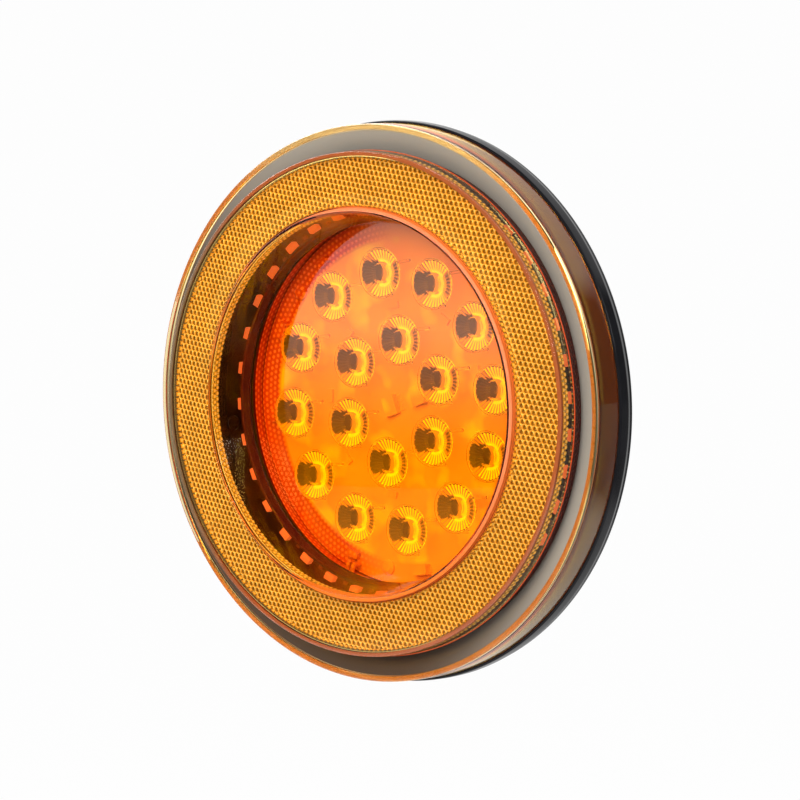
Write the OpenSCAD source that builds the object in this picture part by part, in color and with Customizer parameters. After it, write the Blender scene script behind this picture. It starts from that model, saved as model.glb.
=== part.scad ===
// Round trailer tail light: a sealed amber LED lamp with a raised reflex ring and a recessed
// signal window. The lamp faces -Y and stands on its two studs, which point along +Y.
// Every piece is drawn on the lamp's own axis, with z = 0 on the mounting plane and +z towards
// the front, and on_axis() then lays it into the part's frame.

/* [Lens] */
// Outer diameter of the skirt and its rounded bead
lens_d = 140.1; // [130:0.1:150]
// Height of the lip of the recess above the mounting plane
lip_z = 28.3; // [27.5:0.1:30]
// Diameter of the recess at its lip
recess_d = 96; // [92:0.5:97]
// Diameter of the window at the foot of the recess
window_d = 90.8; // [88:0.1:91]
// Height of the window's front face above the mounting plane
window_z = 14.75; // [14.5:0.05:15.5]
// Wall thickness of the clear mouldings
lens_wall = 2; // [1.6:0.1:2.2]
// Diameter of the raised ring
ring_d = 127; // [126:0.1:127.4]
// Height of the raised ring's front outer edge
ring_z = 26.3; // [25.8:0.1:27]

/* [Housing] */
// Diameter of the black rim that shows behind the lens
housing_d = 141.2; // [140.6:0.1:144]
// Height of the joint between the black rim and the amber skirt
joint_z = 11.4; // [10:0.1:12]
// Height of the rear edge of the black rim
rim_back_z = 6; // [5:0.1:6.5]
// Thickness of the housing's back wall
back_wall = 2.2; // [1.8:0.1:2.4]
// Thickness of the rubber mounting gasket
gasket_t = 2; // [1.5:0.1:2]

/* [Optics] */
// Number of signal lamps on the outer circle
outer_count = 12; // [8:1:12]
// Radius of the outer circle
outer_r = 32.4; // [31:0.1:32.6]
// Number of signal lamps on the inner circle
inner_count = 6; // [3:1:6]
// Radius of the inner circle
inner_r = 15.6; // [15.4:0.1:17]
// Diameter of one collimator
optic_d = 13; // [11:0.1:13]
// Number of small lamps behind the reflex ring
ring_led_count = 36; // [18:1:36]
// Radius of the circle of small lamps
ring_led_r = 53.5; // [52.5:0.1:54]

/* [Mounting] */
// Distance between the two studs
stud_spacing = 45; // [40:1:50]
// Thread diameter of the studs
stud_d = 5; // [4:0.5:6]
// Length of the studs behind the mounting plane
stud_reach = 18; // [10:1:30]
// Bore of the cable grommet
cable_d = 6.4; // [5:0.1:7]

/* [Hidden] */
$fn = 96;

// Small gap between pieces that lie face to face
gap = 0.05;

// Radii of the lens mouldings
skirt_r = lens_d / 2;
bead_r = 1.2;
bead_z = 19.7;
trough_out_r = skirt_r - 2 * bead_r;
trough_in_r = 62.45;
trim_out_z = 19.15;
trim_in_z = 16.05;
trim_t = 0.9;
ring_r = ring_d / 2;
ledge_z = 20.75;
foot_z = 14.9;
lip_r = recess_d / 2;
window_r = window_d / 2;
front_slope = (lip_z - ring_z) / (ring_r - lip_r);
reflex_in_r = 50.15;
reflex_out_r = 60.5;
reflex_t = 2.4;
side_wall = 1.4;
border_t = 0.7;

// Levels of the housing and of the two boards
back_z = gasket_t;
floor_z = back_z + back_wall;
main_bottom_z = 5.6;
board_t = 1.6;
main_top_z = main_bottom_z + board_t;
ring_top_z = 8.4;
ring_bottom_z = ring_top_z - board_t;
window_back_z = window_z - lens_wall;
optic_h = window_back_z - main_top_z - 0.2;

// Radii of the walls and boards inside
wall_in_r = 60.4;
wall_out_r = 62.4;
tongue_in_r = 66.2;
tongue_out_r = skirt_r - lens_wall - 0.2;
tongue_top_z = 14.9;
shield_in_r = 46.7;
shield_t = 1.4;
main_board_r = 46.2;
ring_board_in_r = shield_in_r + shield_t + 0.4;
ring_board_out_r = wall_in_r - 0.4;

// Starting angles of the circles of lamps
outer_turn = 8.2;
inner_turn = 23.6;
ring_turn = 4;
outer_step = 360 / outer_count;
ring_step = 360 / ring_led_count;

// Fasteners
screw_d = 2;
screw_head_d = 3.8;
screw_head_t = 1.2;
screw_reach = 3;
main_screw_r = 42.3;
main_screws = [for (i = [0:2]) 23.2 + 120 * i];
ring_screw_r = 57.6;
ring_screws = [for (i = [0:3]) ring_turn + ring_step / 2 + 90 * i];
boss_d = 5;
stud_head_d = 10;
stud_head_t = 1.2;
stud_head_z = floor_z + 0.6 - stud_head_t;
neck_d = stud_d + 0.6;
stud_tip = 0.6;

// Places of the small parts on the main board: radius and angle
chip_places = [[4.6, 200], [4.6, 20]];
resistor_places = [for (i = [0:8]) [24, 20 + 40 * i]];
capacitor_places = [for (i = [0:5]) [42.4, outer_turn + 60 * i]];
diode_places = [for (i = [0:2]) [42.4, outer_turn + 30 + 120 * i]];

// Where the vent and the link leads are
vent_r = 32;
link_angle = 250;
link_gap = 1.6;
link_d = 1.2;
link_z = 9.6;

// Lays a piece drawn on the lamp's axis into the part's frame
module on_axis() {
    rotate([90, 0, 0]) children();
}

// Copies a child to a radius and an angle on the lamp's face
module at_polar(r, a) {
    rotate([0, 0, a]) translate([r, 0, 0]) children();
}

// A block with its foot on z = 0 and its centre on the axis
module block(x, y, z) {
    translate([-x / 2, -y / 2, 0]) cube([x, y, z]);
}

// Points of an arc in a turned outline
function arc(cx, cy, r, a0, a1, n) =
    [for (i = [0:n]) [cx + r * cos(a0 + (a1 - a0) * i / n), cy + r * sin(a0 + (a1 - a0) * i / n)]];

// Height of the raised ring's front face at a radius
function front_z(r) = lip_z - (r - lip_r) * front_slope;

// A ring cut from a disc
module washer(r_out, r_in, t) {
    difference() {
        cylinder(r = r_out, h = t);
        translate([0, 0, -1]) cylinder(r = r_in, h = t + 2);
    }
}

// Black tub: back wall, shining rim, tongue under the skirt and the wall round the ring chamber
module rear_housing() {
    color([0.03, 0.03, 0.035]) on_axis() difference() {
        union() {
            rotate_extrude($fn = 160) polygon(concat(
                [[0, back_z], [64.2, back_z], [65.4, back_z + 0.8], [68, rim_back_z]],
                arc(housing_d / 2 - 1.1, rim_back_z + 1.1, 1.1, -90, 0, 4),
                [[housing_d / 2, 7.9], [housing_d / 2 - 0.35, 8.2], [housing_d / 2, 8.5]],
                [[housing_d / 2, joint_z - 0.5], [housing_d / 2 - 0.4, joint_z - gap]],
                [[tongue_out_r, joint_z - gap], [tongue_out_r, tongue_top_z], [tongue_in_r, tongue_top_z]],
                [[tongue_in_r, 7.4], [64.4, floor_z + 0.4], [wall_out_r, floor_z + 0.4]],
                [[wall_out_r, 13.15], [wall_in_r, 13.15], [wall_in_r, floor_z], [0, floor_z]]
            ));
            for (a = main_screws)
                at_polar(main_screw_r, a) boss(main_bottom_z - gap);
            for (a = ring_screws)
                at_polar(ring_screw_r, a) boss(ring_bottom_z - gap);
            for (s = [-1, 1])
                translate([s * stud_spacing / 2, 0, back_z]) cylinder(d = stud_head_d + 4, h = back_wall + 0.6);
        }
        for (a = main_screws)
            at_polar(main_screw_r, a) screw_hole(main_bottom_z);
        for (a = ring_screws)
            at_polar(ring_screw_r, a) screw_hole(ring_bottom_z);
        for (s = [-1, 1]) translate([s * stud_spacing / 2, 0, 0]) {
            cylinder(d = neck_d + 0.1, h = 20);
            translate([0, 0, stud_head_z - 0.1]) cylinder(d = stud_head_d + 0.2, h = 5);
        }
        cylinder(d = 13.2, h = 20);
        translate([0, vent_r, 0]) cylinder(d = 6.2, h = 20);
    }
}

module boss(top) {
    translate([0, 0, back_z + 0.5]) cylinder(d = boss_d, h = top - back_z - 0.5);
}

module screw_hole(top) {
    translate([0, 0, top - screw_reach - 0.2]) cylinder(d = screw_d + 0.1, h = 10);
}

// Soft pad that seals the lamp against the panel
module mounting_gasket() {
    color([0.06, 0.06, 0.06]) on_axis() rotate_extrude($fn = 160) polygon([
        [50, 0], [54, 0], [54.6, 0.5], [55.4, 0.5], [56, 0], [58, 0], [58.6, 0.5], [59.4, 0.5],
        [60, 0], [63.6, 0], [63.6, gasket_t - gap], [50, gasket_t - gap]
    ]);
}

// Soft ring pressed between the tongue of the tub and the skirt
module lens_seal() {
    color([0.1, 0.1, 0.1]) on_axis() translate([0, 0, tongue_top_z + gap]) washer(tongue_out_r, tongue_in_r + gap, 0.6);
}

// Amber outer moulding: skirt, rounded bead and the trough behind the trim ring
module skirt_lens() {
    color([0.85, 0.4, 0.08]) on_axis() rotate_extrude($fn = 180) polygon(concat(
        [[skirt_r, joint_z]],
        arc(skirt_r - bead_r, bead_z, bead_r, 0, 180, 10),
        [[trough_out_r, trim_out_z - trim_t - gap], [trough_in_r, trim_in_z - trim_t - gap]],
        [[trough_in_r, 14.85], [wall_in_r, 14.85], [wall_in_r, 13.2], [wall_out_r, 13.2]],
        [[67.4, 16.3], [skirt_r - lens_wall, 16.3], [skirt_r - lens_wall, joint_z]]
    ));
}

// Smoked metallised ring that lies in the trough
module trim_ring() {
    color([0.6, 0.55, 0.5]) on_axis() rotate_extrude($fn = 180) polygon([
        [trough_in_r + gap, trim_in_z - trim_t], [trough_out_r - gap, trim_out_z - trim_t],
        [trough_out_r - gap, trim_out_z], [trough_in_r + gap, trim_in_z]
    ]);
}

// Amber front moulding: wall with its ledge, sloping ring, recess wall and window
module front_lens() {
    under_in_r = lip_r + side_wall;
    under_out_r = ring_r - side_wall;
    foot_in_r = wall_in_r + 0.1;
    color([1, 0.45, 0.05, 0.6]) on_axis() rotate_extrude($fn = 180) polygon(concat(
        [[0, window_z], [0, window_back_z], [window_r + 0.9, window_back_z]],
        [[window_r + side_wall + 0.4, window_z], [under_in_r, front_z(under_in_r) - lens_wall]],
        [[under_out_r, front_z(under_out_r) - lens_wall], [under_out_r, ledge_z]],
        [[foot_in_r + 0.6, trim_in_z], [foot_in_r, foot_z], [trough_in_r - gap, foot_z]],
        [[trough_in_r - gap, trim_in_z], [ring_r - 0.45, ledge_z - 0.4], [ring_r + 0.1, ledge_z - 0.15]],
        [[ring_r + 0.1, ledge_z + 0.1], [ring_r - 0.2, ring_z - 0.5], [ring_r - 0.6, ring_z]],
        [[lip_r + 0.4, lip_z], [lip_r, lip_z - 0.4], [window_r, window_z]]
    ));
}

// Ring of corner-cube pins that sends headlamp light back, shown by its sloping body, and its
// plain border on each side
module reflex_ring() {
    border_in_r = lip_r + side_wall + 0.1;
    border_out_r = ring_r - side_wall - 0.2;
    function top(r) = front_z(r) - lens_wall - 0.2;
    color([0.95, 0.7, 0.15]) on_axis() rotate_extrude($fn = 160) polygon([
        [reflex_in_r, top(reflex_in_r) - reflex_t], [reflex_out_r, top(reflex_out_r) - reflex_t],
        [reflex_out_r, top(reflex_out_r) - border_t], [border_out_r, top(border_out_r) - border_t],
        [border_out_r, top(border_out_r)], [border_in_r, top(border_in_r)],
        [border_in_r, top(border_in_r) - border_t], [reflex_in_r, top(reflex_in_r) - border_t]
    ]);
}

// Black wall that keeps the ring's light out of the signal chamber
module light_shield() {
    color([0.05, 0.04, 0.04]) on_axis() difference() {
        translate([0, 0, floor_z + gap])
            washer(shield_in_r + shield_t, shield_in_r, window_back_z - floor_z - 2 * gap);
        at_polar(shield_in_r, link_angle) translate([-3, -3, link_z - 1.2]) cube([6, 6, 2.4]);
    }
}

// One collimator: a funnel with a socket for the lamp, a well in its face and three feet
module collimator() {
    r = optic_d / 2;
    h = optic_h;
    rotate_extrude($fn = 48) polygon([
        [2.3, 0.85], [2.95, 0.85], [4.3, 1.8], [5.4, 3.1], [r - 0.35, h - 0.75], [r, h - 0.7], [r, h],
        [2.75, h], [2.5, h - 1.5], [0, h - 1.1], [0, 2.4], [1.6, 2.4]
    ]);
    for (a = [0:120:240])
        at_polar(4.6, a) cylinder(d = 1, h = 2.6, $fn = 24);
}

module outer_collimators() {
    color([1, 0.75, 0.2, 0.6]) on_axis() for (i = [0:outer_count - 1])
        at_polar(outer_r, outer_turn + i * outer_step) translate([0, 0, main_top_z + gap]) collimator();
}

module inner_collimators() {
    color([1, 0.75, 0.2, 0.6]) on_axis() for (i = [0:inner_count - 1])
        at_polar(inner_r, inner_turn + i * 360 / inner_count) translate([0, 0, main_top_z + gap]) collimator();
}

// One signal lamp: a square package with a clear dome
module signal_led() {
    dome_r = 1.25;
    block(3.5, 3.5, 0.7);
    intersection() {
        translate([0, 0, 0.6]) sphere(r = dome_r, $fn = 32);
        translate([0, 0, 0.6]) cylinder(r = 2, h = 2);
    }
}

module signal_leds() {
    color([0.95, 0.8, 0.3]) on_axis() {
        for (i = [0:outer_count - 1])
            at_polar(outer_r, outer_turn + i * outer_step) translate([0, 0, main_top_z]) signal_led();
        for (i = [0:inner_count - 1])
            at_polar(inner_r, inner_turn + i * 360 / inner_count) translate([0, 0, main_top_z]) signal_led();
    }
}

// White round board that carries the signal lamps
module main_board() {
    color([0.92, 0.92, 0.88]) on_axis() difference() {
        translate([0, 0, main_bottom_z]) cylinder(r = main_board_r, h = board_t, $fn = 160);
        for (a = main_screws)
            at_polar(main_screw_r, a) cylinder(d = screw_d + 0.3, h = 20);
    }
}

// A small-outline driver chip with eight legs
module chip() {
    translate([0, 0, 0.15]) block(3.9, 4.9, 1.35);
    for (s = [-1, 1], i = [-1.5:1:1.5])
        translate([s * 2.5, i * 1.27, 0]) block(1.3, 0.42, 0.25);
}

module driver_chips() {
    color([0.1, 0.1, 0.1]) on_axis() for (p = chip_places)
        at_polar(p[0], p[1]) translate([0, 0, main_top_z]) chip();
}

module main_resistors() {
    color([0.12, 0.12, 0.14]) on_axis() for (p = resistor_places)
        at_polar(p[0], p[1]) translate([0, 0, main_top_z]) block(1.6, 3.2, 0.6);
}

module main_capacitors() {
    color([0.7, 0.55, 0.35]) on_axis() for (p = capacitor_places)
        at_polar(p[0], p[1]) translate([0, 0, main_top_z]) block(1.6, 3.2, 1.5);
}

module main_diodes() {
    color([0.08, 0.08, 0.08]) on_axis() for (p = diode_places)
        at_polar(p[0], p[1]) translate([0, 0, main_top_z]) {
            translate([0, 0, 0.1]) block(2.6, 4.3, 2);
            block(1.4, 5.1, 0.3);
        }
}

// A pan-head screw standing in a board
module screw(top) {
    translate([0, 0, top]) cylinder(d = screw_head_d, h = screw_head_t * 0.6);
    translate([0, 0, top + screw_head_t * 0.6])
        cylinder(d1 = screw_head_d, d2 = screw_head_d * 0.6, h = screw_head_t * 0.4);
    translate([0, 0, top - board_t - screw_reach]) cylinder(d = screw_d, h = board_t + screw_reach);
}

module main_board_screws() {
    color([0.75, 0.75, 0.76]) on_axis() for (a = main_screws)
        at_polar(main_screw_r, a) screw(main_top_z);
}

// Dark ring-shaped board for the small lamps
module ring_board() {
    color([0.05, 0.05, 0.05]) on_axis() difference() {
        translate([0, 0, ring_bottom_z]) washer(ring_board_out_r, ring_board_in_r, board_t);
        for (a = ring_screws)
            at_polar(ring_screw_r, a) cylinder(d = screw_d + 0.3, h = 20);
    }
}

module ring_leds() {
    color([1, 0.5, 0.2]) on_axis() for (i = [0:ring_led_count - 1])
        at_polar(ring_led_r, ring_turn + i * ring_step) translate([0, 0, ring_top_z]) block(2.8, 3.5, 1.9);
}

module ring_resistors() {
    color([0.6, 0.3, 0.2]) on_axis() for (i = [0:ring_led_count - 1])
        at_polar(ring_led_r - 1, ring_turn + (i + 0.5) * ring_step)
            translate([0, 0, ring_top_z]) block(2, 1.2, 0.5);
}

module ring_board_screws() {
    color([0.75, 0.75, 0.76]) on_axis() for (a = ring_screws)
        at_polar(ring_screw_r, a) screw(ring_top_z);
}

// Two short leads that join the boards through the notch in the light shield
module link_leads() {
    in_r = 44.4;
    out_r = 50.4;
    color([0.7, 0.1, 0.08]) on_axis() rotate([0, 0, link_angle]) for (s = [-1, 1]) {
        translate([0, s * link_gap / 2, 0]) {
            translate([in_r, 0, link_z]) rotate([0, 90, 0]) cylinder(d = link_d, h = out_r - in_r, $fn = 24);
            translate([in_r, 0, main_top_z]) cylinder(d = link_d, h = link_z - main_top_z, $fn = 24);
            translate([in_r, 0, link_z]) sphere(d = link_d, $fn = 24);
            translate([out_r, 0, ring_top_z]) cylinder(d = link_d, h = link_z - ring_top_z, $fn = 24);
            translate([out_r, 0, link_z]) sphere(d = link_d, $fn = 24);
        }
    }
}

// Studs with flat heads let into the inside of the back wall and a thicker neck in it
module mounting_studs() {
    color([0.8, 0.8, 0.78]) on_axis() for (s = [-1, 1]) translate([s * stud_spacing / 2, 0, 0]) {
        translate([0, 0, stud_head_z]) cylinder(d = stud_head_d, h = stud_head_t);
        translate([0, 0, back_z - 0.1]) cylinder(d = neck_d, h = stud_head_z - back_z + 0.1);
        translate([0, 0, stud_tip - stud_reach]) cylinder(d = stud_d, h = stud_reach - stud_tip + back_z - 0.1);
        translate([0, 0, -stud_reach]) cylinder(d1 = stud_d - 2 * stud_tip, d2 = stud_d, h = stud_tip);
    }
}

// Rubber grommet for the cable: a flange on each side of the wall and a tapered nose behind
module cable_grommet() {
    color([0.07, 0.07, 0.07]) on_axis() rotate_extrude() polygon([
        [cable_d / 2, -8], [5, -8], [6.6, 0.4], [9, 0.4], [9, back_z - gap], [6.55, back_z - gap],
        [6.55, floor_z + gap], [8, floor_z + gap], [7.6, main_bottom_z - 0.3], [cable_d / 2, main_bottom_z - 0.3]
    ]);
}

// Breather with a slotted cap
module vent_plug() {
    color([0.12, 0.12, 0.12]) on_axis() translate([0, vent_r, 0]) difference() {
        union() {
            translate([0, 0, 0.3]) cylinder(d = 10, h = back_z - gap - 0.3);
            translate([0, 0, 1]) cylinder(d = 6.1, h = floor_z - 0.8);
        }
        for (a = [0:60:120])
            rotate([0, 0, a]) translate([-6, -0.4, 0]) cube([12, 0.8, 0.8]);
    }
}

rear_housing();
mounting_gasket();
lens_seal();
skirt_lens();
trim_ring();
front_lens();
reflex_ring();
light_shield();
outer_collimators();
inner_collimators();
signal_leds();
main_board();
driver_chips();
main_resistors();
main_capacitors();
main_diodes();
main_board_screws();
ring_board();
ring_leds();
ring_resistors();
ring_board_screws();
link_leads();
mounting_studs();
cable_grommet();
vent_plug();
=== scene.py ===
import math

import bmesh
import bpy
from bpy.props import FloatProperty, FloatVectorProperty, IntProperty, PointerProperty
from mathutils import Matrix, Vector


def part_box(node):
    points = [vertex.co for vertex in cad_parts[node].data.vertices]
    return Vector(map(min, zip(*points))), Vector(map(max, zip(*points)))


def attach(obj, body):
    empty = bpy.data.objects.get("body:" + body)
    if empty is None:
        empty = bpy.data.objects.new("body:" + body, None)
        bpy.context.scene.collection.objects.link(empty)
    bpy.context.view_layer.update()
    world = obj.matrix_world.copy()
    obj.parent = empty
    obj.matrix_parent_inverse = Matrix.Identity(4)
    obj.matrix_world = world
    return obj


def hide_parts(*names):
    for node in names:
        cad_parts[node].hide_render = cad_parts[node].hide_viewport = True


bl_info = {
    "name": "Round Trailer Lamp",
    "version": (1, 0, 0),
    "blender": (4, 5, 0),
    "location": "View3D > Sidebar > Lamp",
    "description": "Dresses the packed round trailer lamp: clear lenses, reflex pins, optics and boards",
    "category": "Object",
}

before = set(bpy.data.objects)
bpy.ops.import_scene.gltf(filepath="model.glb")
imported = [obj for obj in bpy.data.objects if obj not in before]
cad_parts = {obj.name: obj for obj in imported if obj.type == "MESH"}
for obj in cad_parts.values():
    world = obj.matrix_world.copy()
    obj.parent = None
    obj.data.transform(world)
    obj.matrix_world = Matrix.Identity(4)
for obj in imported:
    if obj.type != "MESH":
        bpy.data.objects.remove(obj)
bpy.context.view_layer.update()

MM = 0.001
BODY = "root"


def heights(node):
    """Front and back of a node on the lamp's axis, in mm: the lamp faces -Y."""
    low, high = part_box(node)
    return -low.y / MM, -high.y / MM


def half_width(node):
    """Half the width of a node, in mm."""
    low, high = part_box(node)
    return (high.x - low.x) / 2 / MM


def radius_of(node):
    """Largest radius of a round node, in mm."""
    low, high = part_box(node)
    return max(high.x - low.x, high.z - low.z) / 2 / MM


# Radii and heights in mm. Heights run along the lamp's axis, from the mounting plane to the front.
SHELF_REACH = 0.1  # how far the ledge stands out of the raised ring
LIP_Z, LENS_FOOT_Z = heights("front_lens")
SKIRT_R = radius_of("skirt_lens")
TUB_R = radius_of("rear_housing")
RING_R = radius_of("front_lens") - SHELF_REACH
MAIN_TOP_Z, MAIN_BACK_Z = heights("main_board")
RING_TOP_Z, RING_BACK_Z = heights("ring_board")
OPTIC_TOP_Z = heights("outer_collimators")[0]
GAP = 0.05  # left between pieces that touch
POLE_R = 1e-6  # a smaller ring of points is one point on the axis

# The tub's floor and the post that carries the skirt, and the skirt's seat on it.
TUB_FLOOR = 2.2
POST_IN_R, POST_OUT_R, POST_TOP_Z = 60.4, 62.4, 13.15
SEAT_FOOT_Z, SEAT_STEP_Z = 13.2, 14.85

# The raised ring's textured foot, the heel round the window, the corner ring, and the rib under the lip.
FOOT_IN_R, FOOT_TOP_Z = 60.5, 16.05
HEEL_FOOT_Z, HEEL_TOP_Z = 14.92, 17.0
CORNER_FOOT_Z, CORNER_TOP_Z = 25.0, 25.85
RIB = ((48.35, 25.2), (49.25, 25.2), (49.25, 27.3), (48.45, 27.55))
RIB_R, RIB_Z = 49.0, 27.1

# The ring board's hole and the light shield: its wall, its flange, and the collar and lining inside it; the lining
# is a sheet that carries painted shadow and painted reflections of the pins.
BOARD_HOLE_R = 48.5
SHIELD_IN_R, SHIELD_OUT_R = 47.1, 48.1
FLANGE_IN_R, FLANGE_OUT_R = 45.7, 50.4
COLLAR_IN_R, COLLAR_OUT_R, SEAM_DROP = 46.7, 47.08, 2.6

# The collimator's well and socket, the signal lamp's dome, and the boxes of the packages.
WELL_R, SOCKET_R = 2.55, 3.05
DOME_R, DOME_Z = 1.25, 0.62
PACKAGE, RING_LAMP, RING_CHIP = (3.5, 3.5, 0.7), (2.3, 3.0, 1.9), (2.0, 1.2, 0.5)

# How strongly each clear moulding takes up light, per metre, and how strong the painted glow is that the pins,
# beads, small lamps and bowls give, though none of them is lit.
CAP_DEPTH, WINDOW_DEPTH, SKIRT_DEPTH, BEAD_DEPTH, OPTIC_DEPTH = 380.0, 1330.0, 1000.0, 600.0, 60.0
PIN_PAINTED_GLOW, BEAD_PAINTED_GLOW, RESIN_PAINTED_GLOW, BOWL_PAINTED_GLOW = 0.18, 0.45, 0.7, 0.85
ACRYLIC_IOR = 1.49

# Depths of bumps, in metres.
GRAIN_DEPTH, RIPPLE_DEPTH, FACET_DEPTH = 0.00005, 0.0002, 0.0003


# ---------------------------------------------------------------- sizes and colours


class LampSizes(bpy.types.PropertyGroup):
    """Sizes of the lamp's pieces, in mm unless a name says otherwise"""

    recess_r: FloatProperty(name="Recess radius", description="Radius of the recess at its lip", default=48.0)
    window_r: FloatProperty(name="Window radius", description="Radius of the window", default=45.4)
    window_z: FloatProperty(name="Window height", description="Front face of the window", default=14.75)
    lens_wall: FloatProperty(name="Lens wall", description="Thickness of the window and the front", default=2.0)
    side_wall: FloatProperty(name="Side wall", description="Thickness of the upright walls", default=1.4)
    ring_z: FloatProperty(name="Ring height", description="Front outer edge of the raised ring", default=26.3)
    ledge_z: FloatProperty(name="Ledge height", description="Ledge on the raised ring's wall", default=20.75)
    joint_z: FloatProperty(name="Joint height", description="Joint of the tub and the skirt", default=11.4)
    rim_back_z: FloatProperty(name="Rim back", description="Back edge of the tub's rim", default=6.0)
    bead_r: FloatProperty(name="Bead radius", description="Radius of the rounded bead", default=0.73)
    bead_z: FloatProperty(name="Bead height", description="Centre of the bead", default=20.17)
    seat_z: FloatProperty(name="Bead seat", description="Height of the seat under the bead", default=19.5)
    around: IntProperty(name="Steps around", description="Faces round the large turned pieces", default=288)


class ReflexSizes(bpy.types.PropertyGroup):
    """Sizes of the field of corner-cube pins, in mm"""

    pitch: FloatProperty(name="Pitch", description="Distance between the middles of two pins", default=1.48)
    in_r: FloatProperty(name="Inner radius", description="Inner edge of the field", default=49.4)
    out_r: FloatProperty(name="Outer radius", description="Outer edge of the field", default=61.7)
    pin_h: FloatProperty(name="Pin height", description="Height of one pin", default=1.5)
    sink: FloatProperty(name="Sink", description="Gap between the clear front and the pins", default=1.1)
    turn: FloatProperty(name="Turn", description="Turn of the rows, in degrees", default=-6.0)


class OpticSizes(bpy.types.PropertyGroup):
    """Places and sizes of the lamps and collimators, in mm"""

    outer_count: IntProperty(name="Outer count", description="Optics on the outer circle", default=12)
    inner_count: IntProperty(name="Inner count", description="Optics on the inner circle", default=6)
    ring_count: IntProperty(name="Ring count", description="Small lamps behind the reflex ring", default=36)
    outer_r: FloatProperty(name="Outer circle", description="Radius of the outer circle", default=32.4)
    inner_r: FloatProperty(name="Inner circle", description="Radius of the inner circle", default=15.6)
    ring_r: FloatProperty(name="Ring circle", description="Radius of the circle of small lamps", default=53.5)
    outer_turn: FloatProperty(name="Outer turn", description="Angle of the first outer optic, in degrees", default=8.2)
    inner_turn: FloatProperty(name="Inner turn", description="Angle of the first inner optic, in degrees", default=23.6)
    ring_turn: FloatProperty(name="Ring turn", description="Angle of the first small lamp, in degrees", default=4.0)
    optic_r: FloatProperty(name="Optic radius", description="Radius of one collimator", default=6.5)
    flutes: IntProperty(name="Flutes", description="Flutes round one collimator", default=36)


def colour(name, rgb, what):
    """A colour property with three channels."""
    return FloatVectorProperty(name=name, description=what, subtype="COLOR", size=3, min=0, max=1, default=rgb)


class LampColours(bpy.types.PropertyGroup):
    """Colours of the lamp's materials"""

    light_amber: colour("Light amber", (0.992, 0.818, 0.01), "What the clear front lets through")
    deep_amber: colour("Deep amber", (0.994, 0.82, 0.01), "What the window and the skirt's wall let through")
    bead_amber: colour("Bead amber", (0.994, 0.80, 0.15), "What the bead lets through")
    # Pins: painted highlight on the rims (pin gold), their own orange on the slopes, painted shade in the pits.
    pin_gold: colour("Pin gold", (1.0, 1.0, 0.6), "Rims of the corner-cube pins")
    pin_pit_shade: colour("Pin pit", (0.06, 0.012, 0.001), "Bottoms of the corner-cube pins")
    border: colour("Border", (0.6, 0.07, 0.013), "Carrier plate of the reflex ring, and most of the ledge")
    trim: colour("Trim", (0.34, 0.31, 0.26), "Smoked metallised ring")
    # Trim smoke is painted shade: the ring is darker towards the lower left by painted shade, not by thicker smoke.
    trim_smoke: colour("Trim smoke", (0.085, 0.055, 0.036), "Smoked ring where the smoke is thickest")
    band: colour("Band", (0.055, 0.004, 0.001), "Textured foot of the raised ring")
    tub: colour("Tub", (0.010, 0.010, 0.012), "Polished black tub")
    rubber: colour("Rubber", (0.02, 0.02, 0.02), "Gasket, grommet and seal")
    board: colour("Board", (0.97, 0.58, 0.38), "Solder mask of the main board")
    # Board glow is painted light: paler pools that stand for light the optics gather onto the board.
    board_glow: colour("Board glow", (1.0, 0.95, 0.25), "Paler pools on the main board")
    # Board edge is painted shadow: red where the board's edge and the shield's inside lie in shade at the left.
    edge_painted_shade: colour("Board edge", (0.6, 0.08, 0.015), "Edge of the main board and the light shield's inside")
    dark_board: colour("Ring board", (0.03, 0.004, 0.002), "Solder mask of the ring board")
    lamp: colour("Lamp face", (1.0, 0.17, 0.05), "Resin of the small lamps")
    zinc: colour("Zinc", (0.62, 0.62, 0.6), "Plated studs")
    # Painted shade: the raised ring's ledge is this dark only at the left.
    shelf_painted_shade: colour("Shelf dark", (0.05, 0.02, 0.012), "Raised ring's ledge at the left")
    # Corner left and corner right are one moulding painted by side: greyer at the left, warmer over the rest, as
    # painted light and shade.
    corner_left: colour("Corner left", (0.2, 0.14, 0.11), "Corner ring at the left")
    corner_right: colour("Corner right", (0.38, 0.1, 0.035), "Corner ring over the rest")
    # Lip low and lip high are one rib painted by side: orange at the lower left and pinker at the upper right, as
    # painted light.
    lip_low: colour("Lip low", (0.95, 0.26, 0.05), "Rib under the lip at the lower left")
    lip_high: colour("Lip high", (0.93, 0.29, 0.2), "Rib under the lip at the upper right")
    # Seat low and seat high are one seat painted by side: greyer and paler at the top, as painted light.
    seat_low: colour("Seat low", (0.45, 0.17, 0.055), "Skirt's seat over most of its round")
    seat_high: colour("Seat high", (0.5, 0.42, 0.38), "Skirt's seat at the top")
    # Painted glints: the foot's facets are lighter only at their middles, as highlights.
    facet: colour("Foot facet", (0.42, 0.05, 0.01), "Bright facets in the raised ring's foot")
    pin_slope: colour("Pin slope", (0.95, 0.45, 0.04), "Slopes of the corner-cube pins")
    optic: colour("Optic", (1, 0.93, 0.6), "What the collimators let through")
    # Bowl dark, amber, yellow and glow are painted light: a painted shadow patch, painted highlights and a painted
    # glow.
    bowl_shade: colour("Bowl dark", (0.15, 0.12, 0.17), "Dark patch in the optics' bowls")
    bowl_amber: colour("Bowl amber", (1.0, 0.7, 0.02), "Bright parts of the optics' bowls")
    bowl_highlight: colour("Bowl yellow", (1.0, 0.9, 0.02), "Brightest parts of the optics' bowls")
    bowl_glow: colour("Bowl glow", (1.0, 0.92, 0.02), "Light of the optics' bowls")
    # Pips are painted reflections of the pins on that painted shadow.
    pin_reflection_dot: colour("Pip", (1.0, 0.36, 0.14), "Pips on the main board's edge and the light shield's inside")
    chip: colour("Chip", (0.25, 0.05, 0.02), "Small parts between the ring lamps")


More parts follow.
